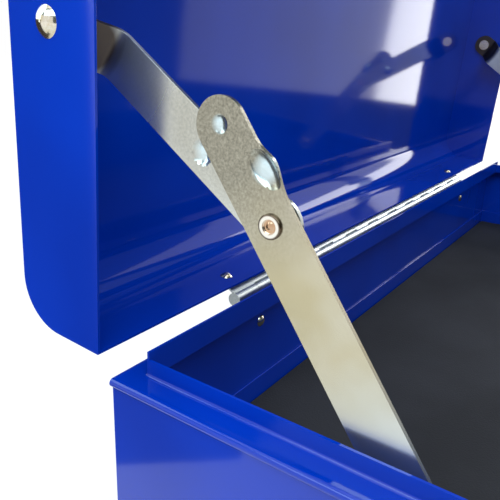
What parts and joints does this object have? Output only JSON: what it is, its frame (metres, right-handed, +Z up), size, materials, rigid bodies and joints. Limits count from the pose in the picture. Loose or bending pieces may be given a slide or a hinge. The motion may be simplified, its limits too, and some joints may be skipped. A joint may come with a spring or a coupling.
{
  "type": "portable tool box",
  "caption": "Steel tool box with drawers at the front, a lined top tray and a hinged lid held open by folding stays, with draw latches and a swing handle.",
  "frame": {"origin": "middle of the box's underside", "axes": "+X to the right across the box as seen from the front, +Y to the rear, +Z up; the front faces -Y and the lid stands open"},
  "size_m": [0.5278, 0.3645, 0.5314],
  "materials": {
    "blue_enamel": "gloss powder enamel",
    "strip_zinc": "zinc plated, lightly mottled",
    "hinge_zinc": "zinc plated",
    "rivet_zinc": "zinc plated, domed heads bright",
    "runner_zinc": "galvanised",
    "latch_chrome": "bright nickel plate",
    "pull_aluminium": "satin anodised",
    "grip_plastic": "fine moulded grain",
    "liner_foam": "matt closed-cell foam"
  },
  "bodies": {
    "cabinet": {"cabinet_shell": "blue_enamel", "base_plate": "blue_enamel", "front_panel": "blue_enamel", "tray_floor": "blue_enamel", "tray_liner": "liner_foam", "hinge_leaf_body": "hinge_zinc", "hinge_pin": "hinge_zinc", "hinge_rivets_body": "rivet_zinc", "latch_rivets": "rivet_zinc", "runners_left": "runner_zinc", "runners_right": "runner_zinc", "stay_body_rivet_left": "rivet_zinc", "stay_body_rivet_right": "rivet_zinc", "stay_spacer_left": "rivet_zinc", "stay_spacer_right": "rivet_zinc", "latch_base_left": "latch_chrome", "latch_base_right": "latch_chrome", "latch_pins_left": "rivet_zinc", "latch_pins_right": "rivet_zinc"},
    "lid": {"lid_wrap": "blue_enamel", "hinge_leaf_lid": "hinge_zinc", "hinge_rivets_lid": "rivet_zinc", "keeper_rivets": "rivet_zinc", "lid_end_left": "blue_enamel", "lid_end_right": "blue_enamel", "stay_lid_rivet_left": "rivet_zinc", "stay_lid_rivet_right": "rivet_zinc", "latch_keeper_left": "latch_chrome", "latch_keeper_right": "latch_chrome", "handle_saddle_left": "latch_chrome", "handle_saddle_right": "latch_chrome"},
    "handle": {"handle_bail": "latch_chrome", "handle_grip": "grip_plastic"},
    "upper_link_left": {"stay_upper_left": "strip_zinc", "stay_elbow_rivet_left": "rivet_zinc"},
    "lower_link_left": {"stay_lower_left": "strip_zinc", "stay_foot_head_left": "rivet_zinc"},
    "lever_left": {"latch_lever_left": "latch_chrome"},
    "loop_left": {"latch_loop_left": "latch_chrome"},
    "upper_link_right": {"stay_upper_right": "strip_zinc", "stay_elbow_rivet_right": "rivet_zinc"},
    "lower_link_right": {"stay_lower_right": "strip_zinc", "stay_foot_head_right": "rivet_zinc"},
    "lever_right": {"latch_lever_right": "latch_chrome"},
    "loop_right": {"latch_loop_right": "latch_chrome"},
    "drawer_1": {"drawer_1_pan": "blue_enamel", "drawer_1_front": "blue_enamel", "drawer_1_pull": "pull_aluminium", "drawer_1_liner": "liner_foam"},
    "drawer_2": {"drawer_2_pan": "blue_enamel", "drawer_2_front": "blue_enamel", "drawer_2_pull": "pull_aluminium", "drawer_2_liner": "liner_foam"},
    "drawer_3": {"drawer_3_pan": "blue_enamel", "drawer_3_front": "blue_enamel", "drawer_3_pull": "pull_aluminium", "drawer_3_liner": "liner_foam"}
  },
  "joints": [
    {"name": "lid_hinge", "type": "hinge", "parent": "cabinet", "child": "lid", "pos_m": [0, 0.13965, 0.25], "axis": [1, 0, 0], "range_deg": [0, 87]},
    {"name": "handle_swing", "type": "hinge", "parent": "lid", "child": "handle", "pos_m": [0, 0.18332, 0.39213], "axis": [1, 0, 0], "range_deg": [0, 180]},
    {"name": "upper_link_left_pivot", "type": "hinge", "parent": "lid", "child": "upper_link_left", "pos_m": [-0.2445, 0.15701, 0.37153], "axis": [1, 0, 0], "range_deg": [-116, 0]},
    {"name": "elbow_left", "type": "hinge", "parent": "upper_link_left", "child": "lower_link_left", "pos_m": [-0.2465, 0.07701, 0.31662], "axis": [1, 0, 0], "range_deg": [0, 138.2]},
    {"name": "lever_left_pivot", "type": "hinge", "parent": "cabinet", "child": "lever_left", "pos_m": [-0.15, -0.1395, 0.232], "axis": [1, 0, 0], "range_deg": [0, 120]},
    {"name": "loop_left_pivot", "type": "hinge", "parent": "lever_left", "child": "loop_left", "pos_m": [-0.15, -0.1452, 0.23413], "axis": [1, 0, 0], "range_deg": [-160.1, 0]},
    {"name": "upper_link_right_pivot", "type": "hinge", "parent": "lid", "child": "upper_link_right", "pos_m": [0.2445, 0.15701, 0.37153], "axis": [1, 0, 0], "range_deg": [-116, 0]},
    {"name": "elbow_right", "type": "hinge", "parent": "upper_link_right", "child": "lower_link_right", "pos_m": [0.2465, 0.07701, 0.31662], "axis": [1, 0, 0], "range_deg": [0, 138.2]},
    {"name": "lever_right_pivot", "type": "hinge", "parent": "cabinet", "child": "lever_right", "pos_m": [0.15, -0.1395, 0.232], "axis": [1, 0, 0], "range_deg": [0, 120]},
    {"name": "loop_right_pivot", "type": "hinge", "parent": "lever_right", "child": "loop_right", "pos_m": [0.15, -0.1452, 0.23413], "axis": [1, 0, 0], "range_deg": [-160.1, 0]},
    {"name": "drawer_1_slide", "type": "slide", "parent": "cabinet", "child": "drawer_1", "axis": [0, -1, 0], "range_m": [0, 0.2]},
    {"name": "drawer_2_slide", "type": "slide", "parent": "cabinet", "child": "drawer_2", "axis": [0, -1, 0], "range_m": [0, 0.2]},
    {"name": "drawer_3_slide", "type": "slide", "parent": "cabinet", "child": "drawer_3", "axis": [0, -1, 0], "range_m": [0, 0.2]}
  ],
  "couplings": [
    {"joint": "upper_link_left_pivot", "follows": "lid_hinge", "ratio": -1.3325},
    {"joint": "elbow_left", "follows": "lid_hinge", "ratio": 1.5874},
    {"joint": "loop_left_pivot", "follows": "lever_left_pivot", "ratio": -1.3333},
    {"joint": "upper_link_right_pivot", "follows": "lid_hinge", "ratio": -1.3325},
    {"joint": "elbow_right", "follows": "lid_hinge", "ratio": 1.5874},
    {"joint": "loop_right_pivot", "follows": "lever_right_pivot", "ratio": -1.3333}
  ]
}
